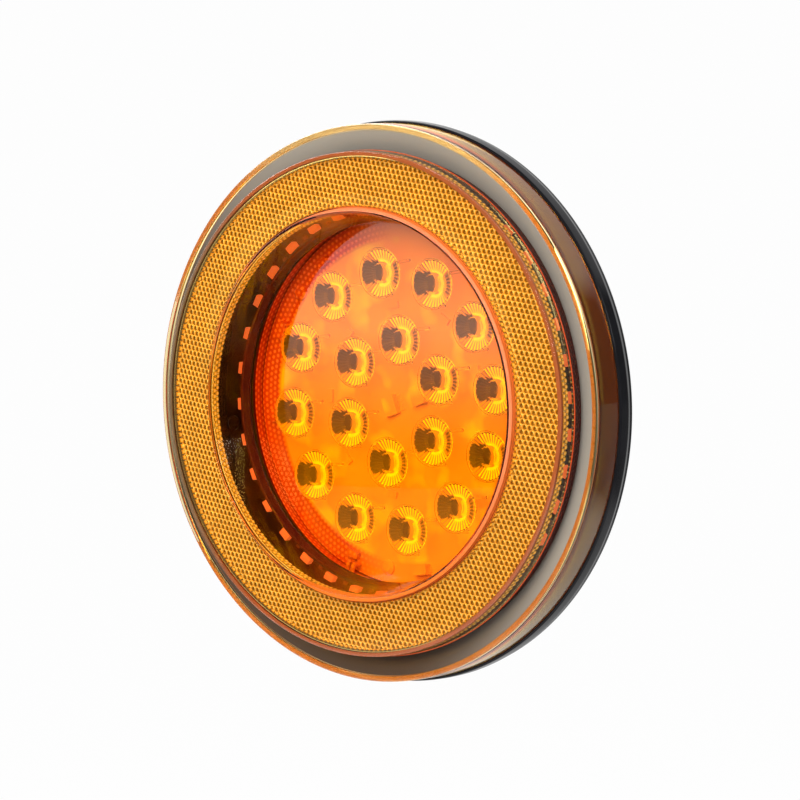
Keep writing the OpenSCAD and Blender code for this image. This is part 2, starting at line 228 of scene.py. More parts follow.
def settings():
    scene = bpy.context.scene
    return scene.lamp_sizes, scene.lamp_reflex, scene.lamp_optics, scene.lamp_colours


# ---------------------------------------------------------------- outlines and meshes


def to_row(point):
    """A point on the lamp's axis, in mm, to the row frame, in metres."""
    x, y, z = point
    return Vector((x, -z, y)) * MM


def rounded(points, steps=4):
    """An outline of (radius, height, round) with its corners bent to a curve that starts round mm away."""
    outline = []
    count = len(points)
    for i, (r, z, bend) in enumerate(points):
        here = Vector((r, z))
        if bend <= 0:
            outline.append((r, z))
            continue
        before = Vector(points[i - 1][:2]) - here
        after = Vector(points[(i + 1) % count][:2]) - here
        start = here + before.normalized() * min(bend, before.length * 0.5)
        end = here + after.normalized() * min(bend, after.length * 0.5)
        for k in range(steps + 1):
            t = k / steps
            spot = start * (1 - t) ** 2 + here * 2 * t * (1 - t) + end * t ** 2
            outline.append((spot.x, spot.y))
    return outline


def arc(r, z, radius, start, end, steps=12):
    """Points of an arc in a turned outline, with angles in degrees."""
    points = []
    for k in range(steps + 1):
        a = math.radians(start + (end - start) * k / steps)
        points.append((r + radius * math.cos(a), z + radius * math.sin(a)))
    return points


def bridge(bm, rings, steps):
    """Joins rings of points into a closed skin; a ring of one point is a pole."""
    for k in range(len(rings)):
        one, two = rings[k], rings[(k + 1) % len(rings)]
        if len(one) == 1 and len(two) == 1:
            continue
        for i in range(steps):
            j = (i + 1) % steps
            corners = [one[i % len(one)], one[j % len(one)], two[j % len(two)], two[i % len(two)]]
            bm.faces.new(list(dict.fromkeys(corners)))


def turn_outline(bm, outline, steps, place=tuple, shape=None):
    """Turns a closed outline of (radius, height) round the lamp's axis, in mm, and gives its rings of points.

    place lays each point down, and shape(ring, radius, height, angle) may change its radius and height first."""
    rings = []
    for k, (r, z) in enumerate(outline):
        if r < POLE_R:
            rings.append([bm.verts.new(place((0, 0, z)))])
            continue
        ring = []
        for i in range(steps):
            a = 2 * math.pi * i / steps
            reach, rise = shape(k, r, z, a) if shape else (r, z)
            ring.append(bm.verts.new(place((reach * math.cos(a), reach * math.sin(a), rise))))
        rings.append(ring)
    bridge(bm, rings, steps)
    return rings


def finished_mesh(name, bm, sharp=35.0):
    """The mesh of a bmesh: outward faces, smooth but for edges sharper than an angle in degrees."""
    bmesh.ops.recalc_face_normals(bm, faces=bm.faces)
    mesh = bpy.data.meshes.new(name)
    bm.to_mesh(mesh)
    bm.free()
    mesh.shade_smooth()
    mesh.set_sharp_from_angle(angle=math.radians(sharp))
    return mesh


def pattern_mesh(name, bm, sharp=35.0):
    """A shape in mm for geometry nodes to repeat, kept out of the scene."""
    return bpy.data.objects.new(name, finished_mesh(name, bm, sharp))


def put(name, mesh, material=None):
    """A mesh as an object in the scene."""
    if material:
        mesh.materials.append(material)
    piece = bpy.data.objects.new(name, mesh)
    bpy.context.scene.collection.objects.link(piece)
    return piece


def turned(name, outline, material, steps=None):
    """A piece turned from one closed outline."""
    bm = bmesh.new()
    turn_outline(bm, outline, steps or bpy.context.scene.lamp_sizes.around, to_row)
    return put(name, finished_mesh(name, bm), material)


def stand_for(piece, slot, *nodes):
    """Fixes a piece to the body and hides the nodes that it stands for; slot is not used."""
    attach(piece, BODY)
    if nodes:
        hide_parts(*nodes)


def block(bm, shift, size, bevel):
    """A bevelled box on the lamp's axes, in mm, with its foot at height 0, moved along x."""
    made = bmesh.ops.create_cube(bm, size=1.0)["verts"]
    for v in made:
        v.co = Vector((shift + v.co.x * size[0], v.co.y * size[1], (v.co.z + 0.5) * size[2]))
    edges = {e for v in made for e in v.link_edges}
    bmesh.ops.bevel(bm, geom=list(edges), offset=bevel, segments=2, profile=0.5, affect="EDGES")


# ---------------------------------------------------------------- geometry nodes


class Nodes:
    """Builds a node tree: add() makes a node, join() links two sockets, and the others give a node's outcome."""

    def __init__(self, tree):
        self.tree = tree

    def add(self, kind, values=None, **properties):
        node = self.tree.nodes.new(kind)
        for key, value in properties.items():
            setattr(node, key, value)
        for key, value in (values or {}).items():
            if isinstance(value, bpy.types.NodeSocket):
                self.tree.links.new(value, node.inputs[key])
            else:
                node.inputs[key].default_value = value
        return node

    def join(self, source, target):
        self.tree.links.new(source, target)

    def math(self, operation, one, two=0.0, three=0.0):
        return self.add("ShaderNodeMath", {0: one, 1: two, 2: three}, operation=operation).outputs[0]

    def vector(self, operation, one, two=(0, 0, 0)):
        """A number for a length or a dot product, and a vector for the rest."""
        outputs = self.add("ShaderNodeVectorMath", {0: one, 1: two}, operation=operation).outputs
        return outputs["Value" if operation in ("LENGTH", "DOT_PRODUCT") else "Vector"]

    def xyz(self, x=0.0, y=0.0, z=0.0):
        return self.add("ShaderNodeCombineXYZ", {0: x, 1: y, 2: z}).outputs[0]

    def axes(self, vector):
        return self.add("ShaderNodeSeparateXYZ", {0: vector}).outputs

    def place(self):
        """Object coordinates, in metres."""
        return self.add("ShaderNodeTexCoord").outputs["Object"]

    def spread(self, value, start, end, low=0.0, high=1.0, **properties):
        """A value led from start and end to low and high, and held there beyond them."""
        values = {"Value": value, 1: start, 2: end, 3: low, 4: high}
        return self.add("ShaderNodeMapRange", values, **properties).outputs[0]

    def blend(self, share, one, two, **properties):
        """The colour between two."""
        values = {"Factor": share, 6: one, 7: two}
        return self.add("ShaderNodeMix", values, data_type="RGBA", **properties).outputs[2]

    def length(self, one, two):
        """The length of a line with two legs at a right angle."""
        squares = self.math("ADD", self.math("MULTIPLY", one, one), self.math("MULTIPLY", two, two))
        return self.math("SQRT", squares)


def new_group(name, inputs):
    """A geometry node group with named inputs, and its builder, input node and output node."""
    tree = bpy.data.node_groups.new(name, "GeometryNodeTree")
    tree.interface.new_socket("Geometry", in_out="INPUT", socket_type="NodeSocketGeometry")
    for label, kind in inputs:
        tree.interface.new_socket(label, in_out="INPUT", socket_type=kind)
    tree.interface.new_socket("Geometry", in_out="OUTPUT", socket_type="NodeSocketGeometry")
    nodes = Nodes(tree)
    return tree, nodes, nodes.add("NodeGroupInput").outputs, nodes.add("NodeGroupOutput").inputs


def finish_group(nodes, geometry, outlet, material):
    """Lays the lamp's axis into the row frame, realizes the copies and sets their material."""
    laid = nodes.add("GeometryNodeTransform",
                     {"Geometry": geometry, "Rotation": (math.radians(90), 0, 0), "Scale": (MM, MM, MM)})
    real = nodes.add("GeometryNodeRealizeInstances", {"Geometry": laid.outputs[0]})
    done = nodes.add("GeometryNodeSetMaterial", {"Geometry": real.outputs[0], "Material": material})
    nodes.join(done.outputs[0], outlet["Geometry"])


def moved(nodes, geometry, position):
    return nodes.add("GeometryNodeSetPosition", {"Geometry": geometry, "Position": position}).outputs[0]


def copies_on(nodes, points, shape, spin):
    """Copies of an object on points, each turned by spin."""
    copied = nodes.add("GeometryNodeObjectInfo", {"Object": shape}).outputs["Geometry"]
    return nodes.add("GeometryNodeInstanceOnPoints", {
        "Points": points, "Instance": copied, "Rotation": spin}).outputs[0]


def circle_group():
    """Copies of a shape on a circle round the lamp's axis, each turned to face outwards or all kept upright."""
    tree, nodes, inlet, outlet = new_group("Copies on a circle", [
        ("Shape", "NodeSocketObject"), ("Count", "NodeSocketInt"), ("Radius", "NodeSocketFloat"),
        ("Turn", "NodeSocketFloat"), ("Height", "NodeSocketFloat"), ("Upright", "NodeSocketFloat"),
        ("Material", "NodeSocketMaterial")])
    line = nodes.add("GeometryNodeMeshLine", {"Count": inlet["Count"], "Offset": (0, 0, 0)})
    index = nodes.add("GeometryNodeInputIndex").outputs[0]
    step = nodes.math("DIVIDE", 2 * math.pi, inlet["Count"])
    start = nodes.math("RADIANS", inlet["Turn"])
    angle = nodes.math("MULTIPLY_ADD", index, step, start)
    x = nodes.math("MULTIPLY", nodes.math("COSINE", angle), inlet["Radius"])
    y = nodes.math("MULTIPLY", nodes.math("SINE", angle), inlet["Radius"])
    spots = moved(nodes, line.outputs[0], nodes.xyz(x, y, inlet["Height"]))
    spin = nodes.xyz(z=nodes.math("MULTIPLY", angle, nodes.math("SUBTRACT", 1.0, inlet["Upright"])))
    finish_group(nodes, copies_on(nodes, spots, inlet["Shape"], spin), outlet, inlet["Material"])
    return tree


def pin_group():
    """Copies of a pin on a hexagonal lattice, laid on the ring's slope and cut to two radii."""
    tree, nodes, inlet, outlet = new_group("Field of pins", [
        ("Shape", "NodeSocketObject"), ("Pitch", "NodeSocketFloat"), ("Inner radius", "NodeSocketFloat"),
        ("Outer radius", "NodeSocketFloat"), ("Turn", "NodeSocketFloat"), ("Top height", "NodeSocketFloat"),
        ("Slope", "NodeSocketFloat"), ("Material", "NodeSocketMaterial")])
    across = nodes.math("MULTIPLY_ADD", inlet["Outer radius"], 2.4, 0.0)
    per_row = nodes.math("CEIL", nodes.math("DIVIDE", across, inlet["Pitch"]))
    row_gap = nodes.math("MULTIPLY", inlet["Pitch"], math.sqrt(3) / 2)
    rows = nodes.math("CEIL", nodes.math("DIVIDE", across, row_gap))
    total = nodes.math("MULTIPLY", per_row, rows)
    line = nodes.add("GeometryNodeMeshLine", {"Count": total, "Offset": (0, 0, 0)})
    index = nodes.add("GeometryNodeInputIndex").outputs[0]
    row = nodes.math("FLOOR", nodes.math("DIVIDE", nodes.math("ADD", index, 0.5), per_row))
    column = nodes.math("SUBTRACT", index, nodes.math("MULTIPLY", row, per_row))
    shift = nodes.math("MULTIPLY", nodes.math("MODULO", row, 2.0), 0.5)
    u = nodes.math("SUBTRACT", nodes.math("ADD", column, shift), nodes.math("MULTIPLY", per_row, 0.5))
    v = nodes.math("SUBTRACT", row, nodes.math("MULTIPLY", rows, 0.5))
    x = nodes.math("MULTIPLY", u, inlet["Pitch"])
    y = nodes.math("MULTIPLY", v, row_gap)
    turn = nodes.math("RADIANS", inlet["Turn"])
    swung = nodes.add("ShaderNodeVectorRotate", {"Vector": nodes.xyz(x, y), "Angle": turn}, rotation_type="Z_AXIS")
    radius = nodes.vector("LENGTH", swung.outputs[0])
    drop = nodes.math("MULTIPLY", nodes.math("SUBTRACT", radius, inlet["Inner radius"]), inlet["Slope"])
    lift = nodes.xyz(z=nodes.math("SUBTRACT", inlet["Top height"], drop))
    spots = moved(nodes, line.outputs[0], nodes.vector("ADD", swung.outputs[0], lift))
    spare = nodes.math("MULTIPLY", inlet["Pitch"], 0.25)
    too_near = nodes.math("LESS_THAN", radius, nodes.math("SUBTRACT", inlet["Inner radius"], spare))
    too_far = nodes.math("GREATER_THAN", radius, nodes.math("ADD", inlet["Outer radius"], spare))
    outside = nodes.math("MAXIMUM", too_near, too_far)
    kept = nodes.add("GeometryNodeDeleteGeometry", {"Geometry": spots, "Selection": outside}).outputs[0]
    copies = copies_on(nodes, kept, inlet["Shape"], nodes.xyz(z=turn))
    real = nodes.add("GeometryNodeRealizeInstances", {"Geometry": copies}).outputs[0]
    # Points beyond the edges are drawn in to them.
    point = nodes.add("GeometryNodeInputPosition").outputs[0]
    away = nodes.vector("LENGTH", nodes.vector("MULTIPLY", point, (1, 1, 0)))
    kept_in = nodes.math("MINIMUM", nodes.math("MAXIMUM", away, inlet["Inner radius"]), inlet["Outer radius"])
    pull = nodes.math("DIVIDE", kept_in, away)
    trimmed = moved(nodes, real, nodes.vector("MULTIPLY", point, nodes.xyz(pull, pull, 1.0)))
    finish_group(nodes, trimmed, outlet, inlet["Material"])
    return tree


def grown(name, tree, values):
    """A plain mesh piece from a geometry node group, with the group's inputs set by name."""
    seed = put(name + "_seed", bpy.data.meshes.new(name + "_seed"))
    modifier = seed.modifiers.new("Grow", "NODES")
    modifier.node_group = tree
    for item in tree.interface.items_tree:
        if item.item_type == "SOCKET" and item.in_out == "INPUT" and item.name in values:
            modifier[item.identifier] = values[item.name]
    bpy.context.view_layer.update()
    graph = bpy.context.evaluated_depsgraph_get()
    mesh = bpy.data.meshes.new_from_object(seed.evaluated_get(graph), depsgraph=graph)
    mesh.name = name
    seed.modifiers.clear()
    bpy.data.objects.remove(seed)
    if not mesh.polygons:
        raise RuntimeError(name + " grew no faces")
    return put(name, mesh)


# ---------------------------------------------------------------- materials


def new_material(name):
    """An empty material with its builder and output socket."""
    material = bpy.data.materials.new(name)
    material.use_nodes = True
    material.node_tree.nodes.clear()
    nodes = Nodes(material.node_tree)
    return material, nodes, nodes.add("ShaderNodeOutputMaterial").inputs


def rgba(rgb):
    """A colour with nothing let through."""
    return tuple(rgb) + (1,)


def surfaced(material, nodes, out, values, lets_light_by=False):
    """Ends a material in its shader; shadow rays may pass it."""
    shader = nodes.add("ShaderNodeBsdfPrincipled", values).outputs[0]
    if lets_light_by:
        through = nodes.add("ShaderNodeBsdfTransparent", {"Color": (1, 1, 1, 1)}).outputs[0]
        shadow = nodes.add("ShaderNodeLightPath").outputs["Is Shadow Ray"]
        shader = nodes.add("ShaderNodeMixShader", {0: shadow, 1: shader, 2: through}).outputs[0]
    nodes.join(shader, out["Surface"])
    return material


def grain(nodes, scale, detail=3.0, low=0.0, high=1.0):
    """Noise on object coordinates, in grains per metre, spread between two values."""
    noise = nodes.add("ShaderNodeTexNoise", {"Vector": nodes.place(), "Scale": scale, "Detail": detail})
    return nodes.spread(noise.outputs[0], 0.3, 0.7, low, high)


def bumped(nodes, height, strength, distance=GRAIN_DEPTH):
    return nodes.add("ShaderNodeBump", {"Height": height, "Strength": strength, "Distance": distance}).outputs[0]


def moulded(name, base, rough=(0.3, 0.4), grain_scale=2500.0, bump=0.15, metal=0.0, vary=0.12, specular=0.5,
            glow=0.0):
    """Plastic, rubber, board or metal: colour and roughness that vary a little, over a fine grain."""
    material, nodes, out = new_material(name)
    tone = grain(nodes, grain_scale / 12, 4.0)
    dark = rgba(c * (1 - vary) for c in base)
    light = rgba(min(1, c * (1 + vary)) for c in base)
    # glow is a painted glow: light from a part that is not lit.
    return surfaced(material, nodes, out, {
        "Base Color": nodes.blend(tone, dark, light), "Roughness": nodes.spread(tone, 0.0, 1.0, *rough),
        "Metallic": metal, "Specular IOR Level": specular, "Emission Color": rgba(base), "Emission Strength": glow,
        "Normal": bumped(nodes, grain(nodes, grain_scale), bump)})


def painted_side_light(name, far, near, way, reach, rough):
    """Satin moulding with painted light and shade: its colour passes from far to near along a direction across the
    lamp's face.
    """
    material, nodes, out = new_material(name)
    unit = nodes.vector("NORMALIZE", nodes.vector("MULTIPLY", nodes.place(), (1, 0, 1)))
    side = nodes.vector("DOT_PRODUCT", unit, (way[0], 0, way[1]))
    share = nodes.spread(side, *reach, interpolation_type="SMOOTHSTEP")
    return surfaced(material, nodes, out, {
        "Base Color": nodes.blend(share, rgba(far), rgba(near)), "Roughness": grain(nodes, 900.0, 3.0, *rough),
        "Specular IOR Level": 0.25, "Normal": bumped(nodes, grain(nodes, 900.0), 0.02)})


def clear(name, tint, density, ripple=0.02):
    """Clear moulding: glass that light passes in shadow, tinted by what its depth takes up."""
    material, nodes, out = new_material(name)
    depth = nodes.add("ShaderNodeVolumeAbsorption", {"Color": rgba(tint), "Density": density})
    nodes.join(depth.outputs[0], out["Volume"])
    return surfaced(material, nodes, out, {
        "Base Color": (1, 1, 1, 1), "Roughness": 0.0, "IOR": ACRYLIC_IOR, "Transmission Weight": 1.0,
        "Normal": bumped(nodes, grain(nodes, 60.0, 1.0), ripple, RIPPLE_DEPTH)}, lets_light_by=True)


# Colours of the hidden mouldings and of the signal lamps' packages.
MATTE, MAROON = (0.02, 0.018, 0.018), (0.08, 0.006, 0.002)
TONGUE, RESIN_YELLOW = (0.13, 0.035, 0.008), (1.0, 0.85, 0.15)

# Finishes that several pieces share: the colour or the property that holds it, and what moulded() takes.
FINISHES = {
    "zinc_plate": ("zinc", {
        "rough": (0.22, 0.38), "metal": 1.0, "vary": 0.08, "grain_scale": 4000}),
    "soft_rubber": ("rubber", {"rough": (0.55, 0.7), "bump": 0.3}),
    "tub_black": ("tub", {
        "rough": (0.1, 0.16), "bump": 0.02, "grain_scale": 1200, "specular": 0.16}),
    "dark_mask": ("dark_board", {
        "rough": (0.4, 0.5), "vary": 0.3, "grain_scale": 3000, "specular": 0.15}),
    "matte_black": (MATTE, {"rough": (0.4, 0.55)}),
    "collar_maroon": (MAROON, {"rough": (0.4, 0.5), "specular": 0.1}),
    "border_orange": ("border", {"rough": (0.2, 0.3), "bump": 0.05}),
}


def shared(name):
    """A finish of the list above, made once."""
    base, values = FINISHES[name]
    if isinstance(base, str):
        base = getattr(settings()[3], base)
    return bpy.data.materials.get(name) or moulded(name, base, **values)


# ---------------------------------------------------------------- pieces


class Step(bpy.types.Operator):
    """Shared by the lamp's operators"""

    bl_options = {"REGISTER", "UNDO"}

    def execute(self, context):
        self.make()
        return {"FINISHED"}


def front_z(sizes, r):
    """Height of the raised ring's front face at a radius."""
    slope = (LIP_Z - sizes.ring_z) / (RING_R - sizes.recess_r)
    return LIP_Z - (r - sizes.recess_r) * slope


def under_z(sizes, reflex, r):
    """Height of the tops of the reflex pins, under the clear front, at a radius."""
    return front_z(sizes, r) - sizes.lens_wall - reflex.sink


# Facets in the raised ring's foot: how many per metre, and the distances in cells between which the painted glint
# on one fades.
FACET_SCALE, FACET_EDGE = 1300.0, (0.08, 0.3)


class LAMP_OT_front_lens(Step):
    """Make the clear cap, the window, the textured foot, and the heel, ledge, corner ring and rib beside them"""

    bl_idname = "lamp.front_lens"
    bl_label = "Front lens"

    def make(self):
        sizes, _, _, colours = settings()
        under_in = sizes.recess_r + sizes.side_wall
        under_out = RING_R - sizes.side_wall
        ledge, wall = sizes.ledge_z, sizes.lens_wall
        back = sizes.window_z - wall
        heel_r = sizes.window_r + 0.55
        outlines = {
            "lens_cap": [
                (sizes.window_r + 0.02, sizes.window_z + 0.1, 0), (sizes.recess_r, LIP_Z - 0.2, 0.5),
                (sizes.recess_r + 0.4, LIP_Z, 0.5), (RING_R - 0.4, sizes.ring_z, 0.6),
                (RING_R - 0.15, sizes.ring_z - 0.5, 0.5), (RING_R, ledge + 0.25, 0.05), (under_out, ledge + 0.25, 0),
                (under_out, front_z(sizes, under_out) - wall, 0.4), (under_in, front_z(sizes, under_in) - wall, 0.4),
                (sizes.window_r + sizes.side_wall + 0.4, sizes.window_z + 0.1, 0)],
            "lens_window": [
                (0, back, 0), (sizes.window_r + 0.9, back, 0.15), (sizes.window_r + 1.7, sizes.window_z, 0.1),
                (0, sizes.window_z, 0)],
            "lens_foot": [
                (FOOT_IN_R, LENS_FOOT_Z, 0), (POST_OUT_R, LENS_FOOT_Z, 0.1), (POST_OUT_R, FOOT_TOP_Z, 0.2),
                (RING_R - 0.47, ledge - 0.5, 0.1), (RING_R - 0.47, ledge + 0.2, 0), (under_out - 0.1, ledge + 0.2, 0),
                (FOOT_IN_R + 0.5, FOOT_TOP_Z, 0.2)],
            "lens_heel": [
                (heel_r, HEEL_FOOT_Z, 0), (heel_r + 1.15, HEEL_FOOT_Z, 0), (heel_r + 1.5, HEEL_TOP_Z, 0),
                (heel_r + 0.4, HEEL_TOP_Z, 0)],
            "lens_shelf": [
                (RING_R - 0.45, ledge - 0.33, 0), (RING_R - 0.1, ledge - 0.33, 0.05),
                (RING_R + SHELF_REACH, ledge - 0.12, 0.1), (RING_R + SHELF_REACH, ledge + 0.05, 0.08),
                (RING_R - 0.05, ledge + 0.22, 0.05), (RING_R - 0.45, ledge + 0.22, 0)],
            "lens_corner": [
                (RING_R - 1.25, CORNER_FOOT_Z, 0.1), (RING_R - 0.3, CORNER_FOOT_Z, 0.1),
                (RING_R - 0.3, CORNER_TOP_Z - 0.1, 0.15), (RING_R - 1.25, CORNER_TOP_Z, 0.1)]}
        materials = {
            "lens_cap": clear("cap_amber", colours.light_amber, CAP_DEPTH),
            "lens_window": clear("window_amber", colours.deep_amber, WINDOW_DEPTH),
            "lens_foot": self.texture(colours),
            "lens_heel": shared("collar_maroon"),
            # The ledge gets painted shade at the left and keeps its own red elsewhere.
            "lens_shelf": painted_side_light("shelf_red", colours.shelf_painted_shade, colours.border, (0.94, -0.34), (-0.75, -0.1),
                                   (0.25, 0.3)),
            # The corner ring is painted greyer at the left and warmer over the rest, as painted light and shade.
            "lens_corner": painted_side_light("corner_brown", colours.corner_left, colours.corner_right, (1.0, 0.0),
                                    (-0.95, -0.55), (0.3, 0.4))}
        for name, outline in outlines.items():
            stand_for(turned(name, rounded(outline), materials[name]), "amber_lens", "front_lens")
        # The rib is painted orange at the lower left and pinker at the upper right, as painted light.
        salmon = painted_side_light("lip_salmon", colours.lip_low, colours.lip_high, (0.6, 0.8), (-0.6, 0.6), (0.3, 0.4))
        stand_for(self.lip(salmon), "amber_lens", "front_lens")

    def lip(self, material):
        """Rib under the lip, full at the right and fading out to the left."""
        def shrunk(ring, r, z, a):
            reach = min(max((math.cos(a) + 0.5) / 0.45, 0.0), 1.0)
            full = 0.03 + 0.97 * reach * reach * (3 - 2 * reach)
            return RIB_R + (r - RIB_R) * full, RIB_Z + (z - RIB_Z) * full

        bm = bmesh.new()
        turn_outline(bm, RIB, bpy.context.scene.lamp_sizes.around, to_row, shrunk)
        return put("lens_lip", finished_mesh("lens_lip", bm), material)

    def texture(self, colours):
        """Dark red moulding with a field of fine facets, each with a painted glint."""
        material, nodes, out = new_material("foot_texture")
        cells = nodes.add("ShaderNodeTexVoronoi", {"Vector": nodes.place(), "Scale": FACET_SCALE}).outputs["Distance"]
        spark = nodes.spread(cells, *FACET_EDGE, 1.0, 0.0)
        return surfaced(material, nodes, out, {
            "Base Color": nodes.blend(spark, rgba(colours.band), rgba(colours.facet)), "Roughness": 0.3,
            "Normal": bumped(nodes, cells, 0.8, FACET_DEPTH)})


class LAMP_OT_skirt(Step):
    """Make the clear outer moulding with its rounded bead, and the smoked ring in its trough"""

    bl_idname = "lamp.skirt"
    bl_label = "Skirt and trim ring"

    def make(self):
        sizes, _, _, colours = settings()
        trough_r = SKIRT_R - 2 * sizes.bead_r
        seat_z, joint_z = sizes.seat_z, sizes.joint_z
        deep = clear("skirt_amber", colours.deep_amber, SKIRT_DEPTH)
        pale = clear("bead_amber", colours.bead_amber, BEAD_DEPTH)
        bead = [(trough_r, seat_z + GAP), (SKIRT_R, seat_z + GAP)]
        bead += arc(SKIRT_R - sizes.bead_r, sizes.bead_z, sizes.bead_r, 0, 180, 20)
        stand_for(turned("skirt_bead", bead, pale), "amber_skirt", "skirt_lens")
        wall = rounded([
            (SKIRT_R - 0.9, joint_z, 0.1), (SKIRT_R, joint_z, 0.25), (SKIRT_R, seat_z - 0.3, 0.1),
            (SKIRT_R - 0.9, seat_z - 0.3, 0.1)])
        stand_for(turned("skirt_wall", wall, deep), "amber_skirt", "skirt_lens")
        seat = rounded([
            (POST_IN_R, SEAT_FOOT_Z, 0), (POST_OUT_R, SEAT_FOOT_Z, 0), (67.4, 16.3, 0.3),
            (67.95, seat_z - 0.25, 0.1), (SKIRT_R - GAP, seat_z - 0.25, 0.1), (SKIRT_R - GAP, seat_z, 0.1),
            (trough_r - GAP, seat_z, 0.1), (62.45, 15.1, 0.1), (62.45, SEAT_STEP_Z, 0), (POST_IN_R, SEAT_STEP_Z, 0)])
        # The seat is painted greyer and paler at the top, as painted light.
        warm = painted_side_light("seat_orange", colours.seat_low, colours.seat_high, (0.0, 1.0), (0.72, 0.95), (0.25, 0.35))
        stand_for(turned("skirt_seat", seat, warm), "amber_skirt", "skirt_lens")
        trim = rounded([(62.5, 16.1, 0), (trough_r - 0.08, 18.8, 0), (trough_r - 0.08, 19.65, 0.12),
                        (62.5, 17.0, 0.12)])
        # The smoked ring gets painted shade towards the lower left and stays lighter at the upper right.
        satin = painted_side_light("smoked_metal", colours.trim_smoke, colours.trim, (0.75, 0.66), (-0.6, 0.45), (0.38, 0.46))
        stand_for(turned("trim_smoked", trim, satin), "smoked_trim", "trim_ring")


class LAMP_OT_reflex(Step):
    """Make the field of corner-cube pins, the beads along its edges and the carrier plate under it"""

    bl_idname = "lamp.reflex"
    bl_label = "Reflex ring"

    def make(self):
        sizes, reflex, _, colours = settings()
        slope = (front_z(sizes, 50) - front_z(sizes, 60)) / 10
        gold = self.gold(colours, "pin_gold", PIN_PAINTED_GLOW)
        bright = self.gold(colours, "bead_gold", BEAD_PAINTED_GLOW)
        pins = grown("reflex_pins", pin_group(), {
            "Shape": self.pin(reflex), "Pitch": reflex.pitch, "Inner radius": reflex.in_r,
            "Outer radius": reflex.out_r, "Turn": reflex.turn, "Top height": under_z(sizes, reflex, reflex.in_r),
            "Slope": slope, "Material": gold})
        stand_for(pins, "reflex_amber", "reflex_ring")
        self.chain("beads_inner", sizes, reflex, reflex.in_r + 0.1, bright)
        self.chain("beads_outer", sizes, reflex, reflex.out_r - 0.05, bright)
        low, high = reflex.in_r + 0.5, reflex.out_r - 0.5
        inner_z, outer_z = (under_z(sizes, reflex, r) - reflex.pin_h for r in (low, high))
        plate = rounded([(low, inner_z - 0.35, 0.1), (high, outer_z - 0.35, 0.1), (high, outer_z + GAP, 0.1),
                         (low, inner_z + GAP, 0.1)])
        stand_for(turned("reflex_plate", plate, shared("border_orange")), "reflex_amber", "reflex_ring")

    def chain(self, name, sizes, reflex, radius, material):
        """Two staggered rows of small beads along an edge of the field."""
        bm = bmesh.new()
        pit = bm.verts.layers.float.new("pit")
        count = round(2 * math.pi * radius / reflex.pitch)
        for row in (0, 1):
            turn = math.pi / count * row
            for v in bmesh.ops.create_uvsphere(bm, u_segments=10, v_segments=8, radius=0.5)["verts"]:
                # Each bead gets painted shade towards its edges, where it meets its neighbours.
                v[pit] = 0.28 + 0.72 * (2 * max(abs(v.co.y), abs(v.co.z))) ** 2
                v.co = Vector((v.co.x * 0.6 + radius * (math.cos(turn) - 1), v.co.y * 1.4 + radius * math.sin(turn),
                               v.co.z * 1.3 - 1.05 * row))
        beads = grown(name, circle_group(), {
            "Shape": pattern_mesh("edge_bead", bm, sharp=80), "Count": count, "Radius": radius, "Turn": reflex.turn,
            "Height": under_z(sizes, reflex, radius) + GAP, "Material": material})
        stand_for(beads, "reflex_amber", "reflex_ring")

    def pin(self, reflex):
        """One corner-cube cell over a tapered foot; pit holds how much painted shade each corner gets."""
        bm = bmesh.new()
        pit = bm.verts.layers.float.new("pit")
        corner = reflex.pitch / 2 / math.cos(math.radians(30))
        levels = ((0.56, -0.7, 0.9, 30), (1.0, 0.0, 0.0, 30), (1.0, -0.4, 0.85, 30), (0.88, -0.95, 0.05, 0),
                  (0.66, -reflex.pin_h, 0.85, 30))
        rings = []
        for share, z, depth, turn in levels:
            ring = []
            for i in range(6):
                a = math.radians(60 * i + turn)
                low = 0.34 * (i % 2) if z == 0 else 0
                v = bm.verts.new((share * corner * math.cos(a), share * corner * math.sin(a), z - low))
                # Corners that sit lower get more painted shade.
                v[pit] = depth + 0.3 * (low > 0)
                ring.append(v)
            rings.append(ring)
        middle = bm.verts.new((0, 0, -1.0))
        middle[pit] = 0.6
        for i in range(6):
            j = (i + 1) % 6
            bm.faces.new((rings[0][i], rings[0][j], middle))
            bm.faces.new((rings[1][i], rings[1][j], rings[0][j]))
            bm.faces.new((rings[1][i], rings[0][j], rings[0][i]))
            bm.faces.new((rings[1][j], rings[1][i], rings[2][i], rings[2][j]))
            bm.faces.new((rings[2][j], rings[2][i], rings[3][j]))
            bm.faces.new((rings[2][i], rings[3][i], rings[3][j]))
            bm.faces.new((rings[3][j], rings[3][i], rings[4][i]))
            bm.faces.new((rings[3][j], rings[4][i], rings[4][j]))
        bm.faces.new(list(reversed(rings[-1])))
        return pattern_mesh("pin", bm, sharp=20)

    def gold(self, colours, name, glow):
        """Rims painted pale as a highlight that falls away to painted shade in the pits, with a painted glow of their
        own.
        """
        material, nodes, out = new_material(name)
        pit = nodes.add("ShaderNodeAttribute", attribute_name="pit").outputs["Fac"]
        ramp = nodes.add("ShaderNodeValToRGB", {"Fac": pit})
        stops = ramp.color_ramp.elements
        # The ramp runs from the painted highlight on the rims to the painted shade in the pits.
        stops[0].position, stops[0].color = 0.1, rgba(colours.pin_gold)
        stops[1].position, stops[1].color = 0.9, rgba(colours.pin_pit_shade)
        stops.new(0.45).color = rgba(colours.pin_slope)
        tone = grain(nodes, 220.0, 2.0, 0.82, 1.0)
        mix = nodes.blend(1.0, ramp.outputs[0], tone, blend_type="MULTIPLY")
        return surfaced(material, nodes, out, {
            "Base Color": mix, "Roughness": 0.22, "Metallic": 0.15, "Coat Weight": 0.6, "Emission Color": mix,
            "Emission Strength": glow})


# The painted shadow patch in each bowl: its middle and half its width and height, in mm, and its tone.
PATCH_X, PATCH_WIDE, PATCH_TALL, PATCH_TONE = -3.3, 2.75, 2.95, 0.04

